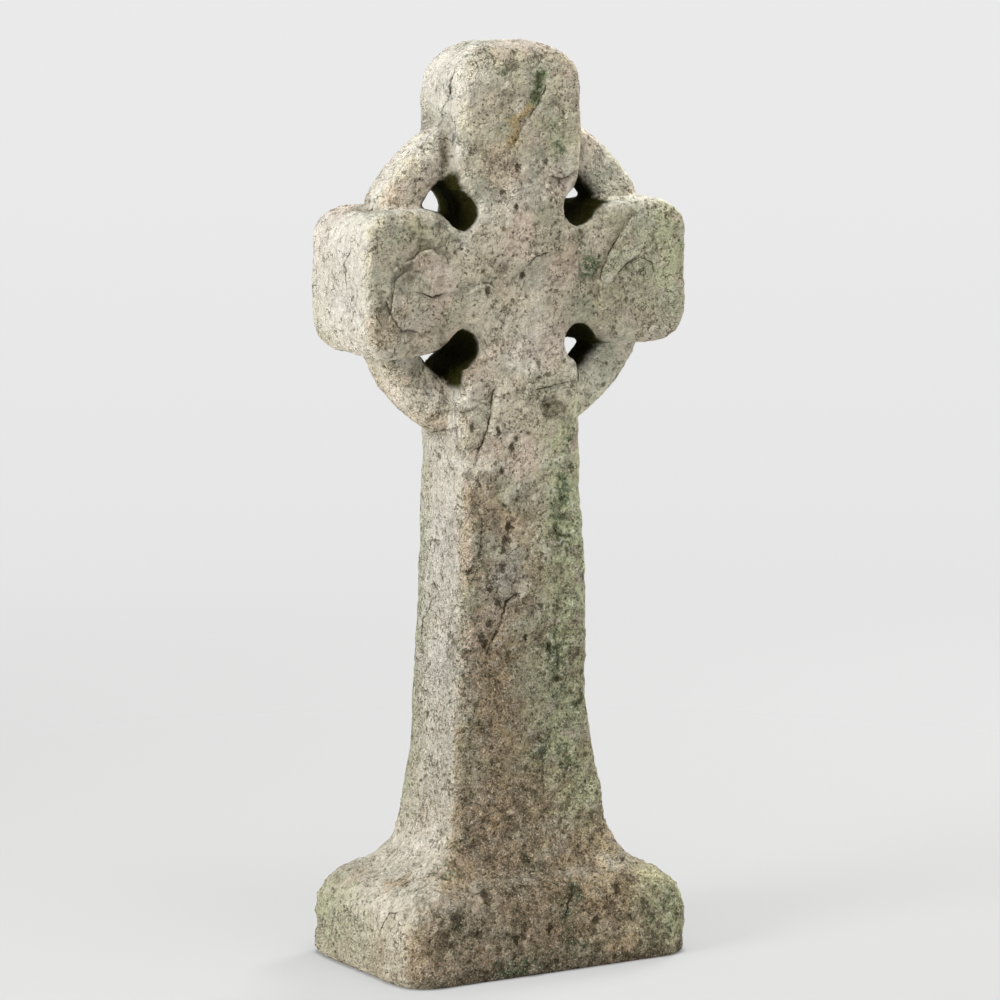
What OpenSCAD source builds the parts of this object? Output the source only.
// Celtic cross gravestone, one carved stone standing on its own spread base.
// Units are millimetres. The stone stands on z = 0, its broad faces look along Y
// and its arms run along X, so the middle of the cross lies on the Z axis.

/* [Overall] */
// Height of the whole stone
stone_height = 1200; // [900:10:1600]
// Height of the upper arm, from the middle of the cross to the top
upper_arm_height = 302; // [240:2:420]

/* [Base] */
// Width of the base at the ground
base_width = 432; // [300:2:600]
// Depth of the base at the ground
base_depth = 284; // [180:2:400]
// Height of the straight sides of the base, below the rounded shoulder
base_side_height = 60; // [30:1:120]
// Radius of the rounded shoulder seen from the front
shoulder_radius = 63; // [20:1:90]
// Radius of the hollow that carries the shoulder up into the shaft
hollow_radius = 84; // [20:1:120]
// How far the shoulder turns over before the hollow begins, in degrees
shoulder_turn = 75; // [50:1:85]
// Radius of the four upright corners of the base
base_corner_radius = 44; // [10:1:90]
// Worn bevel around the foot of the base
foot_bevel = 4; // [1:0.5:12]

/* [Shaft] */
// Width of the shaft just above the base
shaft_low_width = 231; // [160:2:340]
// Depth of the shaft just above the base
shaft_low_depth = 141; // [90:2:220]
// Width of the shaft half way up
shaft_mid_width = 197; // [140:1:300]
// Depth of the shaft half way up
shaft_mid_depth = 126; // [80:1:200]
// Width of the shaft just under the ring
neck_width = 186; // [120:2:260]
// Depth of the shaft just under the ring
neck_depth = 111; // [70:1:180]
// Radius of the long upright edges
edge_radius = 18; // [4:1:30]

/* [Head] */
// Width of the upper arm
head_width = 188; // [120:2:260]
// Depth of the upper arm
head_depth = 114; // [70:1:180]
// Radius of the top corners seen from the front
crown_radius = 62; // [10:1:85]
// Radius of the top edges seen from the side
crown_side_radius = 40; // [6:1:50]

/* [Arms] */
// Length across both arms
arm_span = 486; // [360:2:640]
// Height of an arm where it leaves the crossing
arm_root_height = 181; // [120:1:260]
// Height of an arm at its outer end
arm_end_height = 194; // [120:1:280]
// Depth of an arm at its outer end
arm_end_depth = 153; // [90:1:220]
// How far the arm faces lie inside the shaft faces at the crossing
arm_inset = 1.5; // [0.5:0.5:8]
// Radius of the outer arm corners seen from the front
arm_corner_radius = 46; // [8:1:80]
// Radius of the outer arm ends seen from above
arm_end_radius = 15; // [4:1:40]
// Radius of the long edges of the arms
arm_edge_radius = 15; // [4:1:40]

/* [Ring] */
// Outer diameter of the ring
ring_outer_diameter = 440; // [320:2:600]
// Inner diameter of the ring
ring_inner_diameter = 318; // [220:2:480]
// Depth of the ring
ring_depth = 58; // [30:1:110]
// Rounding of the ring edges
ring_edge_radius = 20; // [3:1:28]

/* [Armpit hollows] */
// Diameter of the round hollow cut in each angle of the cross
hollow_diameter = 47; // [20:1:80]
// Distance of a hollow from the middle of the cross, across and up
hollow_offset = 87; // [70:1:110]

/* [Show] */
// Which solid to draw

/* [Hidden] */
stone_colour = [0.72, 0.69, 0.62];
// slices in a quarter turn of a section corner, and along a rounded end
corner_slices = 6;
curve_slices = 9;
ring_slices = 90;
hollow_slices = 48;
// even levels in the plain run of the shaft, and in the plain part of an arm
shaft_levels = 14;
arm_steps = 4;
// largest share of a half size that the round of a section corner may take
corner_limit = 0.9;
// levels over which the neck size passes into the head size
head_run = 120;
crossing_height = stone_height - upper_arm_height;
neck_height = crossing_height - ring_outer_diameter / 2;
shoulder_top = base_side_height + shoulder_radius * sin(shoulder_turn);
base_top = shoulder_top + hollow_radius * sin(shoulder_turn);
shoulder_reach = (shoulder_radius + hollow_radius) * (1 - cos(shoulder_turn));
crown_foot = stone_height - crown_radius;
arm_half = arm_span / 2;
arm_corner_foot = arm_half - arm_corner_radius;
crossing_depth = (neck_depth + head_depth) / 2 - 2 * arm_inset;
overrun = 50;

function mix(a, b, t) = a + (b - a) * t;
function unit(t) = min(max(t, 0), 1);
// quadratic through low, mid and high at t = 0, 0.5 and 1
function through(low, mid, high, t) =
    low * (1 - t) * (1 - 2 * t) + mid * 4 * t * (1 - t) + high * t * (2 * t - 1);
// how far a quarter round of radius r has pulled in, d being the way along it
function round_in(r, d) = r - sqrt(max(r * r - pow(min(max(d, 0), r), 2), 0));

// share of the way from shaft size to base size at height z: a rounded
// shoulder that turns over into a hollow
function base_share(z) =
    z < shoulder_top ? 1 - round_in(shoulder_radius, z - base_side_height) / shoulder_reach
    : round_in(hollow_radius, base_top - z) / shoulder_reach;

// half size of the shaft and upper arm at height z
function shaft_half(low, mid, neck, head, z) =
    let (t = unit((z - base_top) / (neck_height - base_top)),
         s = unit((z - crossing_height + head_run / 2) / head_run))
    (z > neck_height ? mix(neck, head, s) : through(low, mid, neck, t)) / 2;

// half size of the whole upright at height z
function upright_half(low, mid, neck, head, base, crown, z) =
    mix(shaft_half(low, mid, neck, head, z), base / 2, base_share(z))
    - round_in(crown, z - (stone_height - crown)) - max(foot_bevel - z, 0);
function upright_corner(z) = mix(edge_radius, base_corner_radius, base_share(z));

// outline of a rounded rectangle, half sizes a and b, counter-clockwise
function rounded_outline(a, b, r) =
    [for (q = [0:3], i = [0:corner_slices])
        let (turn = 90 * (q + i / corner_slices),
             sx = (q == 0 || q == 3) ? 1 : -1, sy = q < 2 ? 1 : -1)
        [sx * (a - r) + r * cos(turn), sy * (b - r) + r * sin(turn)]];

// closed skin through a list of sections with equal numbers of points
module skin(sections) {
    n = len(sections[0]);
    last = len(sections) - 1;
    polyhedron(
        points = [for (s = sections, p = s) p],
        faces = concat(
            [[for (j = [0:n - 1]) j]],
            [[for (j = [n - 1:-1:0]) last * n + j]],
            [for (i = [0:last - 1], j = [0:n - 1])
                let (k = (j + 1) % n) [i * n + j, (i + 1) * n + j, (i + 1) * n + k]],
            [for (i = [0:last - 1], j = [0:n - 1])
                let (k = (j + 1) % n) [i * n + j, (i + 1) * n + k, i * n + k]]),
        convexity = 6);
}

// heights at which the upright is cut into sections
function shoulder_levels() =
    [for (i = [0:curve_slices])
        base_side_height + shoulder_radius * sin(shoulder_turn * i / curve_slices)];
function hollow_levels() =
    [for (i = [curve_slices - 1:-1:1])
        base_top - hollow_radius * sin(shoulder_turn * i / curve_slices)];
function shaft_run() = [for (i = [0:shaft_levels]) mix(base_top, neck_height, i / shaft_levels)];
function crown_levels() =
    [for (i = [0:curve_slices]) crown_foot + crown_radius * sin(90 * i / curve_slices)];
function upright_levels() = concat(
    [0, foot_bevel, base_side_height / 2], shoulder_levels(), hollow_levels(), shaft_run(),
    [crossing_height - head_run / 2, crossing_height + head_run / 2], crown_levels());

// base, shaft and upper arm as one upright
module upright() {
    skin([for (z = upright_levels())
        let (a = upright_half(shaft_low_width, shaft_mid_width, neck_width, head_width,
                              base_width, crown_radius, z),
             b = upright_half(shaft_low_depth, shaft_mid_depth, neck_depth, head_depth,
                              base_depth, crown_side_radius, z),
             r = min(upright_corner(z), a * corner_limit, b * corner_limit))
        [for (p = rounded_outline(a, b, r)) [p[0], p[1], z]]]);
}

// distances from the middle at which an arm is cut into sections
function arm_levels() = concat(
    [0],
    [for (i = [0:arm_steps - 1]) mix(hollow_offset, arm_corner_foot, i / arm_steps)],
    [for (i = [0:curve_slices])
        arm_corner_foot + arm_corner_radius * sin(90 * i / curve_slices)]);
function arm_section(x) =
    let (u = abs(x),
         t = unit((u - hollow_offset) / (arm_half - hollow_offset)),
         a = mix(arm_root_height, arm_end_height, t) / 2
             - round_in(arm_corner_radius, u - arm_corner_foot),
         b = mix(crossing_depth, arm_end_depth, t) / 2
             - round_in(arm_end_radius, u - (arm_half - arm_end_radius)),
         r = min(arm_edge_radius, a * corner_limit, b * corner_limit))
    [for (p = rounded_outline(b, a, r)) [x, p[0], p[1] + crossing_height]];

// both side arms as one bar through the crossing
module arms() {
    out = arm_levels();
    skin(concat([for (i = [len(out) - 1:-1:1]) arm_section(-out[i])],
                [for (u = out) arm_section(u)]));
}

// the ring that ties the four arms together
module ring() {
    outer = ring_outer_diameter / 2;
    inner = ring_inner_diameter / 2;
    middle = (outer + inner) / 2;
    outline = rounded_outline((outer - inner) / 2, ring_depth / 2, ring_edge_radius);
    translate([0, 0, crossing_height]) rotate([90, 0, 0])
        rotate_extrude($fn = ring_slices) translate([middle, 0]) polygon(outline);
}

// round hollow cut right through in each angle of the cross
module hollows() {
    for (sx = [-1, 1], sz = [-1, 1])
        translate([sx * hollow_offset, 0, crossing_height + sz * hollow_offset])
            rotate([90, 0, 0])
                cylinder(d = hollow_diameter, h = base_depth + overrun, center = true,
                         $fn = hollow_slices);
}

module celtic_cross() {
    color(stone_colour) union() {
        difference() {
            union() {
                upright();
                arms();
            }
            hollows();
        }
        ring();
    }
}

celtic_cross();
